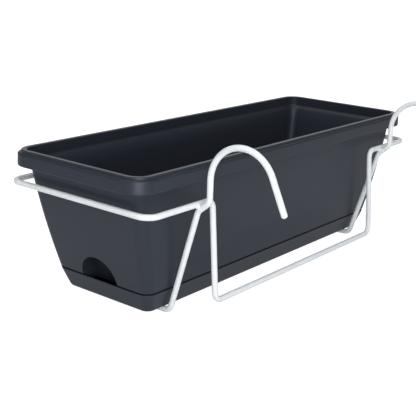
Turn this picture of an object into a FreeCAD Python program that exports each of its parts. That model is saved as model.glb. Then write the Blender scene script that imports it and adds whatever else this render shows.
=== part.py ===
import FreeCAD, Part
import math
import os
import Sketcher

# A rail-hung window box planter. The planting trough, its drip tray and the bent wires
# of the hanger are drawn in one frame: X along the box, -Y towards the rail, Z up, and
# the undersides of the two carrying wires at zero.

os.makedirs("parts", exist_ok=True)
Vector = FreeCAD.Vector
document = FreeCAD.newDocument("window_box")
sheet = document.addObject("Spreadsheet::Sheet", "Sizes")
SIZES = [
    ("wire_dia", 6.0),
    ("seat_gap", 0.3),
    ("weld_depth", 0.2),
    ("rim_length", 500.0),
    ("rim_width", 177.0),
    ("rim_radius", 22.0),
    ("band_depth", 16.0),
    ("band_flare", 0.4),
    ("band_shoulder", 2.2),
    ("band_foot", 1.2),
    ("lip_step", 2.5),
    ("lip_inset", 3.5),
    ("lip_round", 0.9),
    ("collar_inset", 7.0),
    ("collar_drop", 1.0),
    ("mouth_inset", 9.0),
    ("mouth_depth", 12.0),
    ("ledge_drop", 5.0),
    ("rim_reach_end", 12.0),
    ("rim_reach_side", 11.75),
    ("taper_end", 27.0),
    ("taper_side", 12.0),
    ("seam_depth", 126.0),
    ("seam_gap", 1.5),
    ("wall_radius", 12.0),
    ("wall_bow", 1.4),
    ("wall", 2.0),
    ("plug_clearance", 1.0),
    ("plug_depth", 8.0),
    ("tray_height", 21.5),
    ("tray_taper_end", 9.0),
    ("tray_taper_side", 7.5),
    ("tray_radius", 9.0),
    ("tray_edge", 2.5),
    ("brim_round", 0.8),
    ("niche_width", 48.0),
    ("niche_height", 25.0),
    ("niche_depth", 19.0),
    ("foot_inset", 81.0),
    ("foot_across", 26.0),
    ("foot_top_radius", 14.0),
    ("foot_end_radius", 11.0),
    ("foot_slot", 3.0),
    ("drain_dia", 7.0),
    ("drain_pitch", 52.0),
    ("ring_room_end", 5.0),
    ("ring_room_side", 5.5),
    ("ring_drop", 35.1),
    ("ring_bend", 13.0),
    ("spacer_inset", 22.5),
    ("spacer_reach", 8.0),
    ("spacer_drop", 102.6),
    ("spacer_bend", 8.0),
    ("spacer_corner", 9.0),
    ("splice", 14.0),
    ("hook_inset", 74.5),
    ("hook_rise", 26.1),
    ("hook_radius", 36.0),
    ("hook_lean", 25.0),
    ("hook_tail", 37.0),
    ("leg_room", 14.5),
    ("neck_angle", 40.0),
    ("neck_room", 0.9),
    ("neck_bend", 10.0),
    ("strut_bend", 9.0),
    ("strut_room", 5.25),
    ("riser_room", 8.75),
    ("riser_rise", 4.2),
    ("strap_bend", 9.0),
    ("tip_round", 2.2),
    ("bead_radius", 3.5),
    ("bead_gap", 0.2),
]
for row, (alias, value) in enumerate(SIZES, start=1):
    cell = f"B{row}"
    sheet.set(f"A{row}", alias)
    sheet.set(cell, str(value))
    sheet.setAlias(cell, alias)
document.recompute()


def bound(text):
    """Put the sheet's name before each alias in an expression."""
    words = []
    word = ""
    for letter in text + " ":
        if letter.isalnum() or letter in "_.":
            word += letter
            continue
        words.append("Sizes." + word if word in ALIASES else word)
        words.append(letter)
        word = ""
    return "".join(words).strip()


ALIASES = {alias for alias, value in SIZES}


def number(text):
    """The present value of an expression of sheet sizes."""
    found = sheet.evalExpression(bound(text))
    return float(getattr(found, "Value", found))


# Levels and sizes that several pieces share, as expressions of the sheet's sizes.
TRAY_BASE = "(wire_dia + seat_gap)"
TRAY_FLOOR = f"({TRAY_BASE} + wall)"
TRAY_TOP = f"({TRAY_BASE} + tray_height)"
SEAM = f"({TRAY_TOP} + seam_gap)"
RIM_TOP = f"({SEAM} + seam_depth)"
LEDGE = f"({RIM_TOP} - mouth_depth)"
WALL_TOP = f"({LEDGE} - ledge_drop)"
BAND_BASE = f"({RIM_TOP} - band_depth)"
BAND_TOP = f"({RIM_TOP} - lip_step)"
PLUG_BASE = f"({SEAM} - plug_depth)"
PLUG_FLOOR = f"({PLUG_BASE} + wall)"
TOP_LENGTH = "(rim_length - 2 * rim_reach_end)"
TOP_WIDTH = "(rim_width - 2 * rim_reach_side)"
SEAM_LENGTH = f"({TOP_LENGTH} - 2 * taper_end)"
SEAM_WIDTH = f"({TOP_WIDTH} - 2 * taper_side)"
TRAY_LENGTH = f"({SEAM_LENGTH} - 2 * tray_taper_end)"
TRAY_WIDTH = f"({SEAM_WIDTH} - 2 * tray_taper_side)"
CONTACT = "(wire_dia - weld_depth)"
RING_X = f"({TOP_LENGTH} / 2 + ring_room_end)"
RING_Y = "(rim_width / 2 + ring_room_side)"
RING_LEVEL = f"({RIM_TOP} - ring_drop)"
SPACER_LEVEL = f"({RING_LEVEL} - spacer_drop)"
HOOK_X = "(rim_length / 2 - hook_inset)"
SPACER_X = f"({HOOK_X} - spacer_inset)"
HOOK_LEVEL = f"({RING_LEVEL} + hook_rise)"
LEG_Y = f"({RING_Y} + leg_room)"


def new_body(name):
    return document.addObject("PartDesign::Body", name)


def new_sketch(body, name, role, offset):
    """A sketch on one of the body's own planes, moved along its normal."""
    plane = [item for item in body.Origin.OriginFeatures if item.Role == role][0]
    sketch = body.newObject("Sketcher::SketchObject", name)
    sketch.AttachmentSupport = [(plane, "")]
    sketch.MapMode = "FlatFace"
    sketch.setExpression(".AttachmentOffset.Base.z", bound(offset))
    return sketch


def dimension(sketch, kind, places, text):
    """A driving dimension whose value is an expression of the sheet."""
    index = sketch.addConstraint(Sketcher.Constraint(kind, *places, number(text)))
    sketch.setExpression(f"Constraints[{index}]", bound(text))


def add_outline(sketch, length, width, radius):
    """A rounded rectangle centred on the sketch's origin."""
    far = number(length) / 2
    side = number(width) / 2
    bend = number(radius)
    first = sketch.GeometryCount
    ways = [(1, -1), (1, 1), (-1, 1), (-1, -1)]
    for turn in range(4):
        before = ways[turn - 1]
        here = ways[turn]
        along = abs(before[0] - here[0]) / 2
        across = 1 - along
        start = Vector(before[0] * (far - bend * along), before[1] * (side - bend * across), 0)
        end = Vector(here[0] * (far - bend * along), here[1] * (side - bend * across), 0)
        middle = Vector(here[0] * (far - bend), here[1] * (side - bend), 0)
        circle = Part.Circle(middle, Vector(0, 0, 1), bend)
        low = math.radians(-90 + 90 * turn)
        sketch.addGeometry(Part.LineSegment(start, end))
        sketch.addGeometry(Part.ArcOfCircle(circle, low, low + math.pi / 2))
    for step in range(8):
        here = first + step
        after = first + (step + 1) % 8
        sketch.addConstraint(Sketcher.Constraint("Tangent", here, 2, after, 1))
    for step in (0, 4):
        sketch.addConstraint(Sketcher.Constraint("Horizontal", first + step))
        sketch.addConstraint(Sketcher.Constraint("Vertical", first + step + 2))
    for step in (3, 5, 7):
        sketch.addConstraint(Sketcher.Constraint("Equal", first + 1, first + step))
    centre = Sketcher.Constraint("Symmetric", first, 1, first + 4, 1, -1, 1)
    sketch.addConstraint(centre)
    dimension(sketch, "Radius", (first + 1,), radius)
    dimension(sketch, "DistanceX", (first + 6, 1, first + 2, 1), length)
    dimension(sketch, "DistanceY", (first, 1, first + 4, 1), width)


def outline_sketch(body, name, level, length, width, radius):
    sketch = new_sketch(body, name, "XY_Plane", level)
    add_outline(sketch, length, width, radius)
    return sketch


def loft(body, name, sections, kind="PartDesign::AdditiveLoft"):
    feature = body.newObject(kind, name)
    feature.Profile = sections[0]
    feature.Sections = sections[1:]
    feature.Ruled = len(sections) == 2
    document.recompute()
    return feature


def edges_on(feature, level, length, width, radius):
    """The edges of a feature that lie on one rounded outline at one level."""
    high = number(level)
    bend = number(radius)
    names = []
    for place, edge in enumerate(feature.Shape.Edges, start=1):
        middle = edge.valueAt((edge.FirstParameter + edge.LastParameter) / 2)
        along = abs(middle.x) - number(length) / 2 + bend
        across = abs(middle.y) - number(width) / 2 + bend
        outside = math.hypot(max(along, 0), max(across, 0)) + min(max(along, across), 0)
        if abs(middle.z - high) < 0.02 and abs(outside - bend) < 0.05:
            names.append(f"Edge{place}")
    return names


def rounded(body, name, base, edges, radius):
    feature = body.newObject("PartDesign::Fillet", name)
    feature.Base = (base, edges)
    feature.Radius = number(radius)
    feature.setExpression("Radius", bound(radius))
    document.recompute()
    return feature


def combined(kind, name, base, tools):
    """A boolean of whole objects: tools are cut from the base or joined to it."""
    if kind == "Part::MultiFuse":
        feature = document.addObject(kind, name)
        feature.Shapes = [base] + tools
        document.recompute()
        return feature
    for place, tool in enumerate(tools):
        feature = document.addObject(kind, f"{name}_{place}")
        feature.Base = base
        feature.Tool = tool
        base = feature
    document.recompute()
    return base


def inset(size, text):
    return f"({size} - 2 * ({text}))"


def rim_outline(text, radius=None):
    """The rim's outline, moved inwards by an expression."""
    return (inset("rim_length", text), inset("rim_width", text), radius or f"(rim_radius - {text})")


# The outside of the trough: tapered and slightly bowed walls, the plug that enters the
# tray, and the rolled rim with its shoulder, raised lip and hollow underside.
outside = new_body("trough_outside")
MID_LENGTH = f"(({TOP_LENGTH} + {SEAM_LENGTH}) / 2 + 2 * wall_bow)"
MID_WIDTH = f"(({TOP_WIDTH} + {SEAM_WIDTH}) / 2 + 2 * wall_bow)"
MID_LEVEL = f"(({WALL_TOP} + {SEAM}) / 2)"
wall_sections = [
    outline_sketch(outside, "wall_seam", SEAM, SEAM_LENGTH, SEAM_WIDTH, "wall_radius"),
    outline_sketch(outside, "wall_middle", MID_LEVEL, MID_LENGTH, MID_WIDTH, "wall_radius"),
    outline_sketch(outside, "wall_top", WALL_TOP, TOP_LENGTH, TOP_WIDTH, "wall_radius"),
]
loft(outside, "walls", wall_sections)
PLUG_INSET = "(wall + plug_clearance)"
FALL = "((plug_depth - seam_gap) / tray_height)"
PLUG_LENGTH = f"({SEAM_LENGTH} - 2 * {PLUG_INSET} - 2 * tray_taper_end * {FALL})"
PLUG_WIDTH = f"({SEAM_WIDTH} - 2 * {PLUG_INSET} - 2 * tray_taper_side * {FALL})"
PLUG_RADIUS = "(wall_radius - wall)"
PLUG_TOP_LENGTH = inset(SEAM_LENGTH, PLUG_INSET)
PLUG_TOP_WIDTH = inset(SEAM_WIDTH, PLUG_INSET)
plug_sections = [
    outline_sketch(outside, "plug_end", PLUG_BASE, PLUG_LENGTH, PLUG_WIDTH, PLUG_RADIUS),
    outline_sketch(outside, "plug_top", SEAM, PLUG_TOP_LENGTH, PLUG_TOP_WIDTH, PLUG_RADIUS),
]
plug = loft(outside, "plug", plug_sections)
COLLAR = rim_outline("collar_inset")
collar_sections = [
    outline_sketch(outside, "collar_low", f"({WALL_TOP} - collar_drop)", *COLLAR),
    outline_sketch(outside, "collar_high", BAND_TOP, *COLLAR),
]
loft(outside, "collar", collar_sections)
FLARED = rim_outline("0 - band_flare", "rim_radius")
RIM = rim_outline("0 * wall")
band_sections = [
    outline_sketch(outside, "band_low", BAND_BASE, *FLARED),
    outline_sketch(outside, "band_high", BAND_TOP, *RIM),
]
loft(outside, "band", band_sections)
LIP = rim_outline("lip_inset")
lip_sections = [
    outline_sketch(outside, "lip_low", BAND_TOP, *LIP),
    outline_sketch(outside, "lip_high", RIM_TOP, *LIP),
]
loft(outside, "lip", lip_sections)
channel_sketch = new_sketch(outside, "rim_channel", "XY_Plane", BAND_BASE)
add_outline(channel_sketch, *rim_outline("wall"))
add_outline(channel_sketch, *COLLAR)
channel = outside.newObject("PartDesign::Pocket", "channel")
channel.Profile = channel_sketch
channel.Length = 1
channel.setExpression("Length", bound("band_depth - lip_step - wall"))
channel.Reversed = True
document.recompute()
shoulder = rounded(
    outside,
    "shoulder",
    channel,
    edges_on(channel, BAND_TOP, *RIM),
    "band_shoulder",
)
band_foot = rounded(
    outside,
    "band_foot",
    shoulder,
    edges_on(shoulder, BAND_BASE, *FLARED),
    "band_foot",
)
lip_edge = rounded(
    outside,
    "lip_edge",
    band_foot,
    edges_on(band_foot, RIM_TOP, *LIP),
    "lip_round",
)

# The planting space is drawn as a solid and taken out of the outside. It runs from the
# mouth inside the rim, over a sloping ledge, down the walls and into the plug.
space = new_body("planting_space")
INNER_TOP = (inset(TOP_LENGTH, "wall"), inset(TOP_WIDTH, "wall"), "(wall_radius - wall)")
INNER_MID = (inset(MID_LENGTH, "wall"), inset(MID_WIDTH, "wall"), "(wall_radius - wall)")
INNER_LOW = (inset(SEAM_LENGTH, "wall"), inset(SEAM_WIDTH, "wall"), "(wall_radius - wall)")
MOUTH = rim_outline("mouth_inset")
SILL = f"({SEAM} + wall)"
space_sections = [
    outline_sketch(space, "space_low", SILL, *INNER_LOW),
    outline_sketch(space, "space_middle", MID_LEVEL, *INNER_MID),
    outline_sketch(space, "space_top", WALL_TOP, *INNER_TOP),
]
loft(space, "space_walls", space_sections)
ledge_sections = [
    outline_sketch(space, "ledge_low", WALL_TOP, *INNER_TOP),
    outline_sketch(space, "ledge_high", LEDGE, *MOUTH),
]
loft(space, "ledge", ledge_sections)
mouth_sections = [
    outline_sketch(space, "mouth_low", LEDGE, *MOUTH),
    outline_sketch(space, "mouth_high", f"({RIM_TOP} + 1)", *MOUTH),
]
loft(space, "mouth", mouth_sections)
WELL_END = (inset(PLUG_LENGTH, "wall"), inset(PLUG_WIDTH, "wall"), "(wall_radius - 2 * wall)")
WELL_TOP = (inset(PLUG_TOP_LENGTH, "wall"), inset(PLUG_TOP_WIDTH, "wall"), "(wall_radius - 2 * wall)")
well_sections = [
    outline_sketch(space, "well_end", PLUG_FLOOR, *WELL_END),
    outline_sketch(space, "well_top", SILL, *WELL_TOP),
]
loft(space, "well", well_sections)


def arch_block(name, side, radius, depth):
    """An upright arch drawn out along X, from inside the end wall to beyond it."""
    body = new_body(name)
    start = f"({SEAM_LENGTH} / 2 - {depth})"
    if side < 0:
        start = "(0 - rim_length / 2)"
    sketch = new_sketch(body, f"{name}_arch", "YZ_Plane", start)
    bend = number(radius)
    rise = number(f"{SEAM} + niche_height - niche_width / 2")
    low = number(PLUG_BASE) - 1
    circle = Part.Circle(Vector(0, rise, 0), Vector(0, 0, 1), bend)
    sketch.addGeometry(Part.ArcOfCircle(circle, 0, math.pi))
    sketch.addGeometry(Part.LineSegment(Vector(-bend, rise, 0), Vector(-bend, low, 0)))
    sketch.addGeometry(Part.LineSegment(Vector(-bend, low, 0), Vector(bend, low, 0)))
    sketch.addGeometry(Part.LineSegment(Vector(bend, low, 0), Vector(bend, rise, 0)))
    sketch.addConstraint(Sketcher.Constraint("Tangent", 0, 2, 1, 1))
    sketch.addConstraint(Sketcher.Constraint("Coincident", 1, 2, 2, 1))
    sketch.addConstraint(Sketcher.Constraint("Coincident", 2, 2, 3, 1))
    sketch.addConstraint(Sketcher.Constraint("Tangent", 3, 2, 0, 1))
    sketch.addConstraint(Sketcher.Constraint("Vertical", 1))
    sketch.addConstraint(Sketcher.Constraint("Horizontal", 2))
    sketch.addConstraint(Sketcher.Constraint("PointOnObject", 0, 3, -2))
    dimension(sketch, "Radius", (0,), radius)
    dimension(sketch, "DistanceY", (-1, 1, 0, 3), f"{SEAM} + niche_height - niche_width / 2")
    dimension(sketch, "DistanceY", (-1, 1, 2, 1), f"{PLUG_BASE} - 1")
    pad = body.newObject("PartDesign::Pad", f"{name}_block")
    pad.Profile = sketch
    pad.Length = 1
    pad.setExpression("Length", bound(f"(rim_length - {SEAM_LENGTH}) / 2 + {depth}"))
    document.recompute()
    return body


# A watering niche in each end: the wall turns inwards over an arch that is open at the
# front and below, so a can's spout reaches the reservoir in the tray.
housings = []
niches = []
for side, word in ((-1, "left"), (1, "right")):
    housings.append(
        arch_block(f"{word}_housing", side, "(niche_width / 2 + wall)", "(niche_depth + wall)")
    )
    niches.append(arch_block(f"{word}_niche", side, "(niche_width / 2)", "niche_depth"))
hollow = combined("Part::Cut", "hollow", space, housings)


def placed(kind, name, sizes, where):
    """A primitive with its sizes and its place bound to the sheet."""
    item = document.addObject(kind, name)
    for key, text in sizes.items():
        item.setExpression(key, bound(text))
    for axis, text in zip("xyz", where):
        item.setExpression(f".Placement.Base.{axis}", bound(text))
    return item


# Four hollow feet stand on the tray floor and let the soil draw water up, and a row of
# holes drains the floor between them.
FOOT_X = f"({SEAM_LENGTH} / 2 - foot_inset)"
feet = []
cups = []
slots = []
for along in (-1, 1):
    for across in (-1, 1):
        word = f"{'left' if along < 0 else 'right'}_{'rail' if across < 0 else 'far'}"
        spot = (f"{along} * {FOOT_X}", f"{across} * foot_across")
        rise = f"{PLUG_FLOOR} - {TRAY_FLOOR}"
        cone = {"Radius1": "foot_end_radius", "Radius2": "foot_top_radius", "Height": rise}
        feet.append(placed("Part::Cone", f"foot_{word}", cone, spot + (TRAY_FLOOR,)))
        cup = {
            "Radius1": "foot_end_radius - wall",
            "Radius2": "foot_top_radius - wall",
            "Height": rise,
        }
        cups.append(placed("Part::Cone", f"cup_{word}", cup, spot + (f"{TRAY_FLOOR} + wall",)))
        slot = {"Length": "2 * foot_top_radius", "Width": "foot_slot", "Height": "2 * foot_slot"}
        corner = (f"{along} * {FOOT_X} - foot_top_radius", f"{across} * foot_across - foot_slot / 2")
        slots.append(placed("Part::Box", f"slot_{word}", slot, corner + (TRAY_FLOOR,)))
drains = []
for place in range(-3, 4):
    hole = {"Radius": "drain_dia / 2", "Height": "3 * wall"}
    spot = (f"{place} * drain_pitch", "0 * wall", f"{PLUG_BASE} - wall")
    drains.append(placed("Part::Cylinder", f"drain_{place + 3}", hole, spot))
document.recompute()
removed = combined("Part::MultiFuse", "removed", hollow, niches)
shell = combined("Part::Cut", "shell", outside, [removed])
footed = combined("Part::MultiFuse", "footed", shell, feet)
openings = combined("Part::MultiFuse", "openings", cups[0], cups[1:] + slots + drains)
trough = combined("Part::Cut", "trough", footed, [openings])
trough.Label = "trough"

# The drip tray carries the shell on downwards, flush below the shadow gap. It is a
# thin-walled dish with a rounded foot and a rounded brim.
tray = new_body("tray")
TRAY_HIGH = (SEAM_LENGTH, SEAM_WIDTH, "wall_radius")
TURN = "(1 - cos(45 * 1deg)) * tray_edge"
EDGE_STEPS = [("tray_edge", "0 * wall"), (TURN, TURN), ("0 * wall", "tray_edge")]
edge_sections = []
for place, (aside, above) in enumerate(EDGE_STEPS):
    size = (inset(TRAY_LENGTH, aside), inset(TRAY_WIDTH, aside), f"(tray_radius - {aside})")
    level = f"({TRAY_BASE} + {above})"
    edge_sections.append(outline_sketch(tray, f"edge_{place}", level, *size))
loft(tray, "edge_low", edge_sections[:2])
loft(tray, "edge_high", edge_sections[1:])
tray_top = outline_sketch(tray, "tray_high", TRAY_TOP, *TRAY_HIGH)
loft(tray, "dish", [edge_sections[2], tray_top])
SHARE = "(wall / tray_height)"
WATER_LOW = (
    f"({inset(TRAY_LENGTH, 'wall')} + 2 * tray_taper_end * {SHARE})",
    f"({inset(TRAY_WIDTH, 'wall')} + 2 * tray_taper_side * {SHARE})",
    "(tray_radius - wall)",
)
WATER_HIGH = (inset(SEAM_LENGTH, "wall"), inset(SEAM_WIDTH, "wall"), "(wall_radius - wall)")
water_sections = [
    outline_sketch(tray, "water_low", TRAY_FLOOR, *WATER_LOW),
    outline_sketch(tray, "water_high", TRAY_TOP, *WATER_HIGH),
]
water = loft(tray, "water", water_sections, "PartDesign::SubtractiveLoft")
brim = rounded(tray, "brim", water, edges_on(water, TRAY_TOP, *TRAY_HIGH), "brim_round")
tray.Label = "drip_tray"


def bent_path(body, name, role, offset, corners, bends):
    """A path of straight runs through corner points, with a bend at each inner corner."""
    sketch = new_sketch(body, name, role, offset)
    spots = [Vector(number(x), number(y), 0) for x, y in corners]
    starts = [spots[0]]
    arcs = []
    for place, bend in enumerate(bends, start=1):
        size = number(bend)
        back = (spots[place - 1] - spots[place]).normalize()
        ahead = (spots[place + 1] - spots[place]).normalize()
        half = back.getAngle(ahead) / 2
        inward = (back + ahead).normalize()
        enter = spots[place] + back * (size / math.tan(half))
        leave = spots[place] + ahead * (size / math.tan(half))
        middle = spots[place] + inward * (size / math.sin(half))
        through = middle - inward * size
        arcs.append(Part.Arc(enter, through, leave))
        starts += [enter, leave]
    starts.append(spots[-1])
    lines = []
    for place in range(len(spots) - 1):
        run = Part.LineSegment(starts[2 * place], starts[2 * place + 1])
        lines.append(sketch.addGeometry(run))
        if place < len(arcs):
            sketch.addGeometry(arcs[place])
    for place, bend in enumerate(bends):
        line = lines[place]
        arc = line + 1
        after = line + 2
        turn = (starts[2 * place + 1] - starts[2 * place]).cross(
            starts[2 * place + 3] - starts[2 * place + 2]
        )
        enter, leave = (1, 2) if turn.z > 0 else (2, 1)
        sketch.addConstraint(Sketcher.Constraint("Tangent", line, 2, arc, enter))
        sketch.addConstraint(Sketcher.Constraint("Tangent", arc, leave, after, 1))
        dimension(sketch, "Radius", (arc,), bend)
    for place, (x, y) in enumerate(corners):
        if place == 0:
            spot = (lines[0], 1)
        elif place == len(corners) - 1:
            spot = (lines[-1], 2)
        else:
            point = sketch.addGeometry(Part.Point(spots[place]), True)
            sketch.addConstraint(Sketcher.Constraint("PointOnObject", point, 1, lines[place - 1]))
            sketch.addConstraint(Sketcher.Constraint("PointOnObject", point, 1, lines[place]))
            spot = (point, 1)
        dimension(sketch, "DistanceX", (-1, 1) + spot, x)
        dimension(sketch, "DistanceY", (-1, 1) + spot, y)
    return sketch


def wire_section(body, name, role, offset, spot, thickness):
    """The wire's round section, centred at a spot on one of the body's planes."""
    sketch = new_sketch(body, name, role, offset)
    middle = Vector(number(spot[0]), number(spot[1]), 0)
    sketch.addGeometry(Part.Circle(middle, Vector(0, 0, 1), number(thickness) / 2))
    dimension(sketch, "Diameter", (0,), thickness)
    dimension(sketch, "DistanceX", (-1, 1, 0, 3), spot[0])
    dimension(sketch, "DistanceY", (-1, 1, 0, 3), spot[1])
    return sketch


def sweep(body, name, section, path):
    feature = body.newObject("PartDesign::AdditivePipe", name)
    feature.Profile = section
    document.recompute()
    feature.Spine = (path, [f"Edge{place + 1}" for place in range(len(path.Shape.Edges))])
    document.recompute()
    return feature


def ring_wire(name, thickness):
    """The ring round the box, with the U-shaped spacer on the rail side."""
    body = new_body(name)
    join = f"({SPACER_X} + splice)"
    spot = (f"0 - {RING_Y}", RING_LEVEL)
    section = wire_section(body, f"{name}_section", "YZ_Plane", f"0 - {join}", spot, thickness)
    loop = [
        (f"0 - {join}", f"0 - {RING_Y}"),
        (f"0 - {RING_X}", f"0 - {RING_Y}"),
        (f"0 - {RING_X}", RING_Y),
        (RING_X, RING_Y),
        (RING_X, f"0 - {RING_Y}"),
        (join, f"0 - {RING_Y}"),
    ]
    path = bent_path(body, f"{name}_path", "XY_Plane", RING_LEVEL, loop, ["ring_bend"] * 4)
    sweep(body, f"{name}_loop", section, path)
    drop = "sqrt(spacer_reach ^ 2 + spacer_drop ^ 2)"
    spacer = [
        (f"0 - {join}", "0 * wall"),
        (f"0 - {SPACER_X}", "0 * wall"),
        (f"0 - {SPACER_X}", f"0 - {drop}"),
        (SPACER_X, f"0 - {drop}"),
        (SPACER_X, "0 * wall"),
        (join, "0 * wall"),
    ]
    bends = ["spacer_bend", "spacer_corner", "spacer_corner", "spacer_bend"]
    path = bent_path(body, f"{name}_spacer_path", "XZ_Plane", RING_Y, spacer, bends)
    lean = "atan(spacer_reach / spacer_drop)"
    path.AttachmentOffset = FreeCAD.Placement(
        Vector(0, number(RING_LEVEL), number(RING_Y)),
        FreeCAD.Rotation(Vector(1, 0, 0), -number(lean)),
    )
    path.setExpression(".AttachmentOffset.Base.y", bound(RING_LEVEL))
    path.setExpression(".AttachmentOffset.Rotation.Angle", bound(f"-1 * {lean}"))
    sweep(body, f"{name}_spacer", section, path)
    return body


def hook_wire(name, side, thickness):
    """One hook wire: hook, leg, neck past the ring, strut, strap and far riser."""
    body = new_body(name)
    plane_x = f"{side} * {HOOK_X}"
    spot = (plane_x, f"0 - {LEG_Y}")
    section = wire_section(body, f"{name}_section", "XY_Plane", HOOK_LEVEL, spot, thickness)
    neck_top = f"({RING_LEVEL} - ({CONTACT} - leg_room * sin(neck_angle * 1deg)) / cos(neck_angle * 1deg))"
    neck_low = f"({neck_top} - (leg_room - neck_room) * tan(neck_angle * 1deg))"
    riser_foot = f"({TRAY_WIDTH} / 2 + riser_room)"
    lap = f"({RING_Y} - {CONTACT})"
    lap_slope = f"(({lap} - {riser_foot}) / ({RING_LEVEL} - wire_dia / 2))"
    corners = [
        (f"0 - {LEG_Y}", HOOK_LEVEL),
        (f"0 - {LEG_Y}", neck_top),
        (f"0 - {RING_Y} - neck_room", neck_low),
        (f"0 - {TRAY_WIDTH} / 2 - strut_room", "wire_dia / 2"),
        (riser_foot, "wire_dia / 2"),
        (f"{lap} + riser_rise * {lap_slope}", f"{RING_LEVEL} + riser_rise"),
    ]
    bends = ["neck_bend", "strut_bend", "strap_bend", "strap_bend"]
    path = bent_path(body, f"{name}_path", "YZ_Plane", plane_x, corners, bends)
    sweep(body, f"{name}_strap", section, path)
    hook = new_sketch(body, f"{name}_arc", "YZ_Plane", plane_x)
    lean = math.radians(number("hook_lean"))
    radius = number("hook_radius")
    tail = number("hook_tail")
    middle = Vector(-number(LEG_Y) - radius, number(HOOK_LEVEL), 0)
    circle = Part.Circle(middle, Vector(0, 0, 1), radius)
    top = middle + Vector(-math.cos(lean), math.sin(lean), 0) * radius
    tip = top - Vector(math.sin(lean), math.cos(lean), 0) * tail
    hook.addGeometry(Part.ArcOfCircle(circle, 0, math.pi - lean))
    hook.addGeometry(Part.LineSegment(top, tip))
    hook.addConstraint(Sketcher.Constraint("Tangent", 0, 2, 1, 1))
    dimension(hook, "Radius", (0,), "hook_radius")
    dimension(hook, "DistanceX", (-1, 1, 0, 3), f"0 - {LEG_Y} - hook_radius")
    dimension(hook, "DistanceY", (-1, 1, 0, 3), HOOK_LEVEL)
    dimension(hook, "DistanceY", (-1, 1, 0, 1), HOOK_LEVEL)
    dimension(hook, "Distance", (1,), "hook_tail")
    dimension(hook, "DistanceX", (1, 2, 1, 1), "hook_tail * sin(hook_lean * 1deg)")
    arc = sweep(body, f"{name}_hook", section, hook)
    ends = []
    for place, edge in enumerate(arc.Shape.Edges, start=1):
        centre = edge.BoundBox.Center
        if math.hypot(centre.y - tip.x, centre.z - tip.y) < 0.5:
            ends.append(f"Edge{place}")
    rounded(body, f"{name}_tip", arc, ends, "tip_round")
    return body


# The ring wire goes round the box below the rim. On the rail side it turns down into a
# wide U whose bar leans on the rail's posts and keeps the box level. The two hook wires
# are alike: each is one rod that hooks over the rail, passes the ring, carries the tray
# from below and rises to the ring again on the far side.
ring = ring_wire("ring", "wire_dia")
ring.Label = "ring_wire"
left_hook = hook_wire("left_hook_wire", -1, "wire_dia")
right_hook = hook_wire("right_hook_wire", 1, "wire_dia")

# A weld bead fills the waist between ring and hook wire at each of the four crossings.
# It is a ball from which both wires, thickened by the bead's gap, are cut. The ball's
# poles point at the two wires, so both are cut away and a plain belt is left.
cut_dia = "(wire_dia + 2 * bead_gap)"
cutters = [ring_wire("ring_cut", cut_dia)]
beads = []
for side, word in ((-1, "left"), (1, "right")):
    cutters.append(hook_wire(f"{word}_cut", side, cut_dia))
    ball = {"Radius": "bead_radius"}
    reach = f"({CONTACT} / 2)"
    near = (
        f"{side} * {HOOK_X}",
        f"0 - {RING_Y} - {reach} * sin(neck_angle * 1deg)",
        f"{RING_LEVEL} - {reach} * cos(neck_angle * 1deg)",
    )
    far = (f"{side} * {HOOK_X}", f"{RING_Y} - {reach}", RING_LEVEL)
    for end, spot, tilt in (("near", near, "-1 * neck_angle"), ("far", far, "90")):
        bead = placed("Part::Sphere", f"bead_{word}_{end}", ball, spot)
        bead.Placement.Rotation = FreeCAD.Rotation(Vector(1, 0, 0), number(tilt))
        bead.setExpression(".Placement.Rotation.Angle", bound(f"{tilt} * 1deg"))
        beads.append(bead)
blobs = combined("Part::MultiFuse", "blobs", beads[0], beads[1:])
welds = combined("Part::Cut", "welds", blobs, cutters)
welds.Label = "weld_beads"

document.recompute()
for item in document.Objects:
    if "Invalid" in item.State or "Error" in item.State:
        raise SystemExit(f"{item.Name} did not build: {item.State}")
for piece in (trough, tray, ring, left_hook, right_hook, welds):
    shape = piece.Shape
    if shape.isNull() or not shape.isValid():
        raise SystemExit(f"{piece.Label} is not a sound solid")
    shape.exportStep(f"parts/{piece.Label}.step")
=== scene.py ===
import math

import bmesh
import bpy
from mathutils import Matrix, Vector


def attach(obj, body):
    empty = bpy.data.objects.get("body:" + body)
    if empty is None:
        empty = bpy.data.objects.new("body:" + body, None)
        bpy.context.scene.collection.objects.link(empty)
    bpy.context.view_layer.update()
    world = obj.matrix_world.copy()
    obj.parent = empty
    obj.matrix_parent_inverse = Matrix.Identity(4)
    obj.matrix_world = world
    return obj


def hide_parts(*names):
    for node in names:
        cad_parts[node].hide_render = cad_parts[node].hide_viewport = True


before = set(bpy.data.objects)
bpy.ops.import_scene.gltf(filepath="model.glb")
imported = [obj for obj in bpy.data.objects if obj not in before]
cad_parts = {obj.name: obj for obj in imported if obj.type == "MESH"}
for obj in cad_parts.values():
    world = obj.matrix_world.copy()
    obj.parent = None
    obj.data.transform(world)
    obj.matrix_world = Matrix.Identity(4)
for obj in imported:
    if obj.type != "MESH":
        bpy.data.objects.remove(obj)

scene = bpy.context.scene
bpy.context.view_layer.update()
mm = 0.001

# ---------------------------------------------------------------------------------
# Planting trough. One injection moulding in anthracite plastic: tapered, slightly
# bowed walls, a rolled rim with a hollow underside, a plug that drops into the tray,
# a watering niche in each end and four hollow feet.
trough_base = 21.3 * mm
seam_level = 29.3 * mm
wall_top_level = 138.3 * mm
rim_top_level = 155.3 * mm
rim = (500 * mm, 177 * mm, 22 * mm)
shoulder = (476 * mm, 153.5 * mm, 12 * mm)
seam = (422 * mm, 129.5 * mm, 12 * mm)
plug_top = (416 * mm, 123.5 * mm, 10 * mm)
plug_foot = (410.6 * mm, 119 * mm, 10 * mm)
wall_thickness = 2 * mm
wall_bow = 1.4 * mm
WALL_STEPS = 8
CORNER_SEGMENTS = 14
ROUND_SEGMENTS = 4


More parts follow.
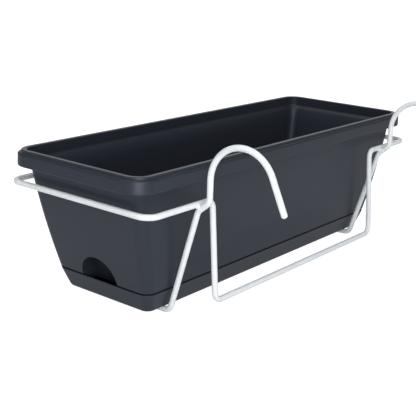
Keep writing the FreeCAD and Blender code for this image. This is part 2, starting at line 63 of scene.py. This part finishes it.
def outline_start(bm, length, width, radius, level):
    """Lay down a flat rounded rectangle and return its rim of edges."""
    made = bmesh.ops.create_grid(bm, x_segments=1, y_segments=1, size=0.5)
    bmesh.ops.scale(bm, vec=(length, width, 1), verts=made["verts"])
    bmesh.ops.translate(bm, vec=(0, 0, level), verts=made["verts"])
    bmesh.ops.bevel(
        bm,
        geom=made["verts"],
        offset=radius,
        offset_type="OFFSET",
        affect="VERTICES",
        segments=CORNER_SEGMENTS,
        profile=0.5,
        material=-1,
    )
    return list(bm.edges)


def outline_step(bm, edges, before, after):
    """Draw the outline on to its next size and level, corner by corner."""
    made = bmesh.ops.extrude_edge_only(bm, edges=edges)
    points = [item for item in made["geom"] if isinstance(item, bmesh.types.BMVert)]
    length, width, radius, level = before
    new_length, new_width, new_radius, new_level = after
    for side_x in (-1, 1):
        for side_y in (-1, 1):
            corner = [p for p in points if p.co.x * side_x > 0 and p.co.y * side_y > 0]
            middle = Vector((side_x * (length / 2 - radius), side_y * (width / 2 - radius), 0))
            moved = Vector((side_x * (new_length / 2 - new_radius), side_y * (new_width / 2 - new_radius), 0))
            turn = new_radius / radius
            bmesh.ops.scale(bm, vec=(turn, turn, 1), space=Matrix.Translation(-middle), verts=corner)
            shift = moved - middle + Vector((0, 0, new_level - level))
            bmesh.ops.translate(bm, vec=shift, verts=corner)
    return [item for item in made["geom"] if isinstance(item, bmesh.types.BMEdge)]


def moulded(profile):
    """A closed moulding from a list of outlines (length, width, radius, level, rounding)."""
    bm = bmesh.new()
    loops = [outline_start(bm, *profile[0][:4])]
    for before, after in zip(profile, profile[1:]):
        loops.append(outline_step(bm, loops[-1], before[:4], after[:4]))
    bmesh.ops.edgeloop_fill(bm, edges=loops[-1])
    bmesh.ops.recalc_face_normals(bm, faces=bm.faces)
    for place, outline in enumerate(profile):
        if outline[4] > 0:
            bmesh.ops.bevel(
                bm,
                geom=[edge for edge in loops[place] if edge.is_valid],
                offset=outline[4],
                offset_type="OFFSET",
                affect="EDGES",
                segments=ROUND_SEGMENTS,
                profile=0.5,
                material=-1,
            )
    bmesh.ops.remove_doubles(bm, verts=bm.verts, dist=0.01 * mm)
    bmesh.ops.recalc_face_normals(bm, faces=bm.faces)
    return bm


def new_piece(name, bm):
    mesh = bpy.data.meshes.new(name)
    bm.to_mesh(mesh)
    bm.free()
    piece = bpy.data.objects.new(name, mesh)
    scene.collection.objects.link(piece)
    return piece


def at_level(outline, inset, level, rounding):
    """An outline drawn in on every side, with its level and the rounding of its edge."""
    length, width, radius = outline
    return (length - 2 * inset, width - 2 * inset, radius - inset, level, rounding)


def wall_levels(thickness, low_level, round_low):
    """The bowed wall from the seam to below the rim, inside or outside."""
    rows = []
    for step in range(WALL_STEPS + 1):
        level = low_level + (wall_top_level - low_level) * step / WALL_STEPS
        height = (level - seam_level) / (wall_top_level - seam_level)
        bow = 4 * wall_bow * height * (1 - height)
        length, width, radius = (low + (high - low) * height for low, high in zip(seam, shoulder))
        outline = (length + 2 * bow, width + 2 * bow, radius)
        rows.append(at_level(outline, thickness, level, round_low if step == 0 else 0))
    return rows


collar_inset = 7 * mm
band_flare = 0.4 * mm
lip_inset = 3.5 * mm
band_base = rim_top_level - 16 * mm
band_top = rim_top_level - 2.5 * mm
channel_roof = band_top - wall_thickness
outside_profile = [
    at_level(plug_foot, 0, trough_base, 1.2 * mm),
    at_level(plug_top, 0, seam_level, 0),
    *wall_levels(0, seam_level, 0.5 * mm),
    at_level(rim, collar_inset, wall_top_level - 1 * mm, 0.6 * mm),
    at_level(rim, collar_inset, channel_roof, 0.4 * mm),
    at_level(rim, wall_thickness, channel_roof, 0.4 * mm),
    at_level(rim, wall_thickness, band_base, 0.3 * mm),
    at_level(rim, -band_flare, band_base, 1.2 * mm),
    at_level(rim, 0, band_top, 2.2 * mm),
    at_level(rim, lip_inset, band_top, 0.5 * mm),
    at_level(rim, lip_inset, rim_top_level, 0.9 * mm),
]
outside = new_piece("trough_shell", moulded(outside_profile))

floor_level = trough_base + wall_thickness
shelf_level = seam_level + wall_thickness
ledge_level = rim_top_level - 12 * mm
mouth_inset = 9 * mm
mouth_round = 0.8 * mm
clear_above = 3 * mm
space_profile = [
    at_level(plug_foot, wall_thickness, floor_level, 1.5 * mm),
    at_level(plug_top, wall_thickness, shelf_level, 0.8 * mm),
    *wall_levels(wall_thickness, shelf_level, 0.8 * mm),
    at_level(rim, mouth_inset, ledge_level, 1.2 * mm),
    at_level(rim, mouth_inset, rim_top_level - mouth_round, 0),
    at_level(rim, mouth_inset - mouth_round, rim_top_level, 0),
    at_level(rim, mouth_inset - mouth_round, rim_top_level + clear_above, 0),
]
space = new_piece("planting_space", moulded(space_profile))

niche_radius = 24 * mm
niche_height = 25 * mm
niche_depth = 19 * mm


def arch_block(name, radius, depth):
    """Upright arches drawn out along X beyond both ends, for the niches."""
    bm = bmesh.new()
    bmesh.ops.create_circle(bm, cap_ends=True, radius=radius, segments=48)
    bmesh.ops.rotate(bm, matrix=Matrix.Rotation(math.radians(90), 3, "Y"), verts=bm.verts)
    rise = seam_level + niche_height - niche_radius
    for point in bm.verts:
        if point.co.z < -0.1 * mm:
            point.co.z = trough_base - wall_thickness - rise
    bmesh.ops.translate(bm, vec=(0, 0, rise), verts=bm.verts)
    start = seam[0] / 2 - depth
    bmesh.ops.translate(bm, vec=(start, 0, 0), verts=bm.verts)
    made = bmesh.ops.extrude_face_region(bm, geom=list(bm.faces))
    far = [item for item in made["geom"] if isinstance(item, bmesh.types.BMVert)]
    bmesh.ops.translate(bm, vec=(rim[0] / 2 - start, 0, 0), verts=far)
    bmesh.ops.recalc_face_normals(bm, faces=bm.faces)
    bmesh.ops.mirror(bm, geom=bm.verts[:] + bm.edges[:] + bm.faces[:], axis="X", merge_dist=0)
    bmesh.ops.recalc_face_normals(bm, faces=bm.faces)
    return new_piece(name, bm)


housings = arch_block("niche_housings", niche_radius + wall_thickness, niche_depth + wall_thickness)
niches = arch_block("niche_voids", niche_radius, niche_depth)
foot_places = [(x * mm, y * mm) for x in (-130, 130) for y in (-26, 26)]


def cones(name, low_radius, high_radius, low, high):
    """One upright cone at each of the four foot places."""
    bm = bmesh.new()
    for x, y in foot_places:
        bmesh.ops.create_cone(
            bm,
            cap_ends=True,
            segments=40,
            radius1=low_radius,
            radius2=high_radius,
            depth=high - low,
            matrix=Matrix.Translation((x, y, (low + high) / 2)),
        )
    return new_piece(name, bm)


foot_level = 8.3 * mm
cup_level = foot_level + wall_thickness
feet = cones("feet", 11 * mm, 13.8 * mm, foot_level, floor_level - 0.5 * mm)
cups = cones("cups", 9 * mm, 12.2 * mm, cup_level, floor_level + 1 * mm)

drain_pitch = 52 * mm
drain_radius = 3.5 * mm
drain_cut = 8 * mm
slot_size = (30 * mm, 3 * mm, drain_cut, 1)
bm = bmesh.new()
for place in range(-3, 4):
    bmesh.ops.create_cone(
        bm,
        cap_ends=True,
        segments=24,
        radius1=drain_radius,
        radius2=drain_radius,
        depth=drain_cut,
        matrix=Matrix.Translation((place * drain_pitch, 0, trough_base)),
    )
for x, y in foot_places:
    spot = Matrix.Translation((x, y, cup_level)) @ Matrix.Diagonal(slot_size)
    bmesh.ops.create_cube(bm, size=1, matrix=spot)
drains = new_piece("drains", bm)


def carve(piece, *steps):
    """Add and take away whole shapes, then keep the result as the piece's own mesh."""
    for place, (operation, tool) in enumerate(steps):
        change = piece.modifiers.new(f"change_{place}", "BOOLEAN")
        change.operation = operation
        change.solver = "EXACT"
        change.object = tool
    graph = bpy.context.evaluated_depsgraph_get()
    mesh = bpy.data.meshes.new_from_object(piece.evaluated_get(graph))
    piece.modifiers.clear()
    piece.data = mesh
    for operation, tool in steps:
        bpy.data.objects.remove(tool)


carve(space, ("DIFFERENCE", housings))
carve(
    outside,
    ("UNION", feet),
    ("DIFFERENCE", space),
    ("DIFFERENCE", niches),
    ("DIFFERENCE", cups),
    ("DIFFERENCE", drains),
)
trough = outside
trough.name = "planting_trough"


def smooth(piece, angle):
    """Shade the piece smooth, with creases where faces meet more sharply than an angle."""
    piece.data.shade_smooth()
    piece.data.set_sharp_from_angle(angle=math.radians(angle))
    flat = piece.modifiers.new("even_normals", "WEIGHTED_NORMAL")
    flat.keep_sharp = True
    flat.weight = 60


smooth(trough, 40)


class Amount:
    """A number that a material works out, which joins in ordinary sums."""

    def __init__(self, finish, socket):
        self.finish = finish
        self.socket = socket

    def sum(self, operation, left, right):
        made = self.finish.node("ShaderNodeMath", {"operation": operation}, {0: left, 1: right})
        return Amount(self.finish, made.outputs[0])

    def __add__(self, other):
        return self.sum("ADD", self, other)

    def __radd__(self, other):
        return self.sum("ADD", other, self)

    def __mul__(self, other):
        return self.sum("MULTIPLY", self, other)

    def __rmul__(self, other):
        return self.sum("MULTIPLY", other, self)


class Finish:
    """A node material with one way of making nodes."""

    def __init__(self, name):
        self.material = bpy.data.materials.new(name)
        self.material.use_nodes = True
        self.tree = self.material.node_tree
        self.shader = self.tree.nodes["Principled BSDF"]
        self.output = self.tree.nodes["Material Output"]

    def node(self, kind, settings, values):
        made = self.tree.nodes.new(kind)
        for key, value in settings.items():
            setattr(made, key, value)
        for key, value in values.items():
            self.put(made.inputs[key], value)
        return made

    def put(self, socket, value):
        if isinstance(value, Amount):
            value = value.socket
        if isinstance(value, bpy.types.NodeSocket):
            self.tree.links.new(value, socket)
        else:
            socket.default_value = value

    def noise(self, scale, detail=2.0, roughness=0.5):
        place = self.node("ShaderNodeTexCoord", {}, {}).outputs["Object"]
        values = {"Vector": place, "Scale": scale, "Detail": detail, "Roughness": roughness}
        return Amount(self, self.node("ShaderNodeTexNoise", {}, values).outputs["Fac"])

    def set(self, **values):
        for key, value in values.items():
            self.put(self.shader.inputs[key.replace("_", " ")], value)


def mix_colour(finish, share, first, second):
    made = finish.node("ShaderNodeMix", {"data_type": "RGBA"}, {0: share, 6: first, 7: second})
    return made.outputs[2]


# The plastic is dyed right through and comes from a lightly spark-eroded mould, so it is
# matt with a faint grain. Flow in the mould leaves broad, barely visible clouds.
plastic = Finish("anthracite_moulding")
clouds = plastic.noise(9.0, detail=3.0)
grain = plastic.noise(1400.0, detail=2.0)
tone = clouds * 0.7 + grain * 0.3
dark_plastic = (0.0185, 0.0218, 0.0310, 1)
light_plastic = (0.0235, 0.0276, 0.0392, 1)
grain_bump = plastic.node("ShaderNodeBump", {}, {"Strength": 0.12, "Distance": 0.1 * mm, "Height": grain})
plastic.set(
    Base_Color=mix_colour(plastic, tone, dark_plastic, light_plastic),
    Roughness=0.33 + 0.08 * clouds + 0.06 * grain,
    Normal=grain_bump.outputs["Normal"],
    IOR=1.5,
    Specular_Tint=(0.80, 0.88, 1.0, 1),
)
trough.data.materials.clear()
trough.data.materials.append(plastic.material)
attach(trough, "trough")
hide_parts("trough")

# ---------------------------------------------------------------------------------
# Drip tray. A thin dish in the same plastic that carries the shell on below a narrow
# shadow gap. The trough stands in it on its feet.
tray_base = 6.3 * mm
tray_top = 27.8 * mm
tray_foot = (404 * mm, 114.5 * mm, 9 * mm)
dish_share = wall_thickness / (tray_top - tray_base)
dish_floor = [low + (high - low) * dish_share for low, high in zip(tray_foot, seam)]
tray_profile = [
    at_level(tray_foot, 0, tray_base, 2.6 * mm),
    at_level(seam, 0, tray_top, 0.8 * mm),
    at_level(seam, wall_thickness, tray_top, 0.5 * mm),
    at_level(dish_floor, wall_thickness, tray_base + wall_thickness, 1 * mm),
]
tray = new_piece("water_tray", moulded(tray_profile))
smooth(tray, 40)
tray.data.materials.append(plastic.material)
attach(tray, "tray")
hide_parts("drip_tray")

# ---------------------------------------------------------------------------------
# Ring wire. One 6 mm steel rod, bent cold and closed by a butt weld: it goes round the
# box below the rim and drops into the wide U that keeps the box off the rail's posts.
wire_radius = 3 * mm
weld_join = 0.05 * mm
rounded_end = 2.6 * mm
cut_end = 0.4 * mm
WIRE_SEGMENTS = 24
DEGREES_PER_STEP = 6


def bent_wire(name, corners, bends, closed=False):
    """Sweep the round section along straight runs and turn it about each bend's centre.

    A wire that isn't closed starts with a rounded end and stops with a cut one.
    """
    bm = bmesh.new()
    corners = [Vector(corner) * mm for corner in corners]
    heading = (corners[1] - corners[0]).normalized()
    place = Matrix.Translation(corners[0]) @ heading.to_track_quat("Z", "Y").to_matrix().to_4x4()
    bmesh.ops.create_circle(bm, cap_ends=False, radius=wire_radius, segments=WIRE_SEGMENTS, matrix=place)
    ring = list(bm.edges)
    first_ring = list(ring)
    here = corners[0]
    for index, bend in enumerate(bends, start=1):
        ahead = (corners[index + 1] - corners[index]).normalized()
        angle = heading.angle(ahead)
        reach = bend * mm * math.tan(angle / 2)
        enter = corners[index] - heading * reach
        made = bmesh.ops.extrude_edge_only(bm, edges=ring)
        points = [item for item in made["geom"] if isinstance(item, bmesh.types.BMVert)]
        bmesh.ops.translate(bm, vec=enter - here, verts=points)
        ring = [item for item in made["geom"] if isinstance(item, bmesh.types.BMEdge)]
        axis = heading.cross(ahead).normalized()
        centre = enter + axis.cross(heading) * bend * mm
        steps = max(4, round(math.degrees(angle) / DEGREES_PER_STEP))
        made = bmesh.ops.spin(bm, geom=ring, cent=centre, axis=axis, angle=angle, steps=steps)
        ring = [item for item in made["geom_last"] if isinstance(item, bmesh.types.BMEdge)]
        here = corners[index] + ahead * reach
        heading = ahead
    made = bmesh.ops.extrude_edge_only(bm, edges=ring)
    points = [item for item in made["geom"] if isinstance(item, bmesh.types.BMVert)]
    bmesh.ops.translate(bm, vec=corners[-1] - here, verts=points)
    ring = [item for item in made["geom"] if isinstance(item, bmesh.types.BMEdge)]
    if closed:
        bmesh.ops.remove_doubles(bm, verts=bm.verts, dist=weld_join)
    else:
        for end, reach, segments in ((first_ring, rounded_end, 6), (ring, cut_end, 2)):
            bmesh.ops.edgeloop_fill(bm, edges=end)
            bmesh.ops.bevel(
                bm,
                geom=end,
                offset=reach,
                offset_type="OFFSET",
                affect="EDGES",
                segments=segments,
                profile=0.5,
                material=-1,
            )
    bmesh.ops.recalc_face_normals(bm, faces=bm.faces)
    piece = new_piece(name, bm)
    smooth(piece, 50)
    return piece


ring_x = 243
ring_y = 94
ring_z = 120.2
ring_bend = 13
spacer_x = 153
spacer_bar = (-102, 17.6)
spacer_bend = 8
spacer_corner = 9
ring = bent_wire(
    "ring_and_spacer",
    [
        (0, ring_y, ring_z),
        (-ring_x, ring_y, ring_z),
        (-ring_x, -ring_y, ring_z),
        (-spacer_x, -ring_y, ring_z),
        (-spacer_x, *spacer_bar),
        (spacer_x, *spacer_bar),
        (spacer_x, -ring_y, ring_z),
        (ring_x, -ring_y, ring_z),
        (ring_x, ring_y, ring_z),
        (0, ring_y, ring_z),
    ],
    [ring_bend] * 2 + [spacer_bend] + [spacer_corner] * 2 + [spacer_bend] + [ring_bend] * 2,
    closed=True,
)

# White polyester powder, baked on: satin, with a fine orange peel and a trace of grey
# where the powder lies thinner.
powder = Finish("white_powder_coat")
peel = powder.noise(420.0, detail=2.0)
patches = powder.noise(22.0, detail=2.0)
peel_bump = powder.node("ShaderNodeBump", {}, {"Strength": 0.10, "Distance": 0.1 * mm, "Height": peel})
powder.set(
    Base_Color=mix_colour(powder, patches, (0.745, 0.78, 0.81, 1), (0.785, 0.82, 0.845, 1)),
    Roughness=0.30 + 0.08 * peel,
    Normal=peel_bump.outputs["Normal"],
    IOR=1.5,
)
ring.data.materials.append(powder.material)
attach(ring, "hanger")
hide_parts("ring_wire")

# ---------------------------------------------------------------------------------
# Hook wires. Two more rods of the same steel, alike: hook, leg, a neck that passes the
# ring, the strut, the strap under the tray and the riser on the far side.
hook_x = 175.5
leg_y = -108.5
hook_radius = 36
hook_level = 146.3
tail_length = 37
lean = math.radians(25)
contact = 5.8
neck = math.radians(40)
neck_y = -94.9
strut_y = -62.5
riser_y = 66
strap_z = 3
riser_rise = 4.2
neck_bend = 10
strap_bend = 9
neck_top = ring_z - (contact - (-leg_y - ring_y) * math.sin(neck)) / math.cos(neck)
neck_low = neck_top - (neck_y - leg_y) * math.tan(neck)
lap_y = ring_y - contact
lap_slope = (lap_y - riser_y) / (ring_z - strap_z)
tangent = hook_radius * math.tan((math.pi - lean) / 2)
tail_y = leg_y - hook_radius - hook_radius * math.cos(lean) - tail_length * math.sin(lean)
tail_z = hook_level + hook_radius * math.sin(lean) - tail_length * math.cos(lean)
for word, x in (("left", -hook_x), ("right", hook_x)):
    hook = bent_wire(
        f"{word}_hook",
        [
            (x, tail_y, tail_z),
            (x, leg_y, hook_level + tangent),
            (x, leg_y, neck_top),
            (x, neck_y, neck_low),
            (x, strut_y, strap_z),
            (x, riser_y, strap_z),
            (x, lap_y + riser_rise * lap_slope, ring_z + riser_rise),
        ],
        [hook_radius, neck_bend, strap_bend, strap_bend, strap_bend],
    )
    hook.data.materials.append(powder.material)
    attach(hook, "hanger")
    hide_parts(f"{word}_hook_wire")

# ---------------------------------------------------------------------------------
# Weld beads. Where a hook wire crosses the ring the two are spot welded; the coating
# runs into the waist between them and leaves a small soft nugget.
nugget_radius = 3.4 * mm
nugget_shape = Matrix.Diagonal((1, 0.55, 1, 1))
near_side = (-ring_y - contact / 2 * math.sin(neck), ring_z - contact / 2 * math.cos(neck))
far_side = (ring_y - contact / 2, ring_z)
bm = bmesh.new()
for x in (-hook_x, hook_x):
    for (y, z), tilt in ((near_side, math.pi / 2 - neck), (far_side, 0)):
        place = Matrix.Translation(Vector((x, y, z)) * mm) @ Matrix.Rotation(tilt, 4, "X")
        bmesh.ops.create_icosphere(bm, subdivisions=4, radius=nugget_radius, matrix=place @ nugget_shape)
beads = new_piece("weld_nuggets", bm)
smooth(beads, 60)
beads.data.materials.append(powder.material)
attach(beads, "hanger")
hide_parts("weld_beads")

# ---------------------------------------------------------------------------------
# Floor, light and camera. A pale sweep under the straps, soft lamps in front, overhead
# and behind the box, and the camera at the photograph's angle.
floor_reach = 12
bm = bmesh.new()
bmesh.ops.create_grid(bm, x_segments=1, y_segments=1, size=floor_reach)
floor = new_piece("floor", bm)
paper = Finish("pale_floor")
paper.set(Base_Color=(0.82, 0.82, 0.82, 1), Roughness=0.9)
rays = paper.node("ShaderNodeLightPath", {}, {})
seen = Amount(paper, rays.outputs["Is Camera Ray"])
mirrored = Amount(paper, rays.outputs["Is Glossy Ray"])
floor_share = 0.6
shine = mix_colour(paper, mirrored, (1, 1, 1, 1), (0.32, 0.33, 0.35, 1))
glow = paper.node("ShaderNodeEmission", {}, {"Color": shine, "Strength": 1.6})
blend = paper.node(
    "ShaderNodeMixShader",
    {},
    {0: (seen + mirrored) * floor_share, 1: paper.shader.outputs["BSDF"], 2: glow.outputs["Emission"]},
)
paper.put(paper.output.inputs["Surface"], blend.outputs["Shader"])
floor.data.materials.append(paper.material)

world = bpy.data.worlds.new("studio")
scene.world = world
world.use_nodes = True
ambient_strength = 0.46
mirrored_strength = 0.15
tree = world.node_tree
backdrop = tree.nodes["Background"]
path = tree.nodes.new("ShaderNodeLightPath")
unseen = tree.nodes.new("ShaderNodeMix")
unseen.inputs[2].default_value = ambient_strength
unseen.inputs[3].default_value = mirrored_strength
tree.links.new(path.outputs["Is Glossy Ray"], unseen.inputs[0])
strength = tree.nodes.new("ShaderNodeMix")
strength.inputs[3].default_value = 1.0
tree.links.new(path.outputs["Is Camera Ray"], strength.inputs[0])
tree.links.new(unseen.outputs[0], strength.inputs[2])
tree.links.new(strength.outputs[0], backdrop.inputs["Strength"])
backdrop.inputs["Color"].default_value = (1, 1, 1, 1)


def soft_light(name, place, target, size, power):
    """A square lamp that faces a point on the box."""
    lamp = bpy.data.lights.new(name, "AREA")
    lamp.shape = "SQUARE"
    lamp.size = size
    lamp.energy = power
    item = bpy.data.objects.new(name, lamp)
    item.location = place
    item.rotation_euler = (Vector(target) - Vector(place)).to_track_quat("-Z", "Y").to_euler()
    scene.collection.objects.link(item)


soft_light("front", (-0.80, -1.0, 0.40), (-0.15, 0, 0.08), 0.8, 4.0)
soft_light("front_low", (-0.80, -0.62, 0.08), (-0.2, -0.05, 0.04), 0.4, 2.6)
soft_light("overhead_front", (-0.7, -0.9, 1.3), (0, 0, 0.08), 1.2, 7.5)
soft_light("top", (-0.4, 0.4, 1.6), (-0.1, 0, 0.12), 1.2, 4.5)
soft_light("back", (1.4, 1.1, 0.70), (0, 0, 0.15), 1.8, 7.5)

view_from = Vector((-0.79358, -0.59657, 0.35412))
view_to = Vector((-0.04083, 0, 0.06822))
view_roll = math.radians(1.98)
camera_data = bpy.data.cameras.new("camera")
camera_data.sensor_width = 36
camera_data.lens = 76.48
camera = bpy.data.objects.new("camera", camera_data)
turn = (view_to - view_from).to_track_quat("-Z", "Y").to_matrix().to_4x4()
camera.matrix_world = Matrix.Translation(view_from) @ turn @ Matrix.Rotation(view_roll, 4, "Z")
scene.collection.objects.link(camera)
scene.camera = camera
scene.view_settings.view_transform = "Standard"
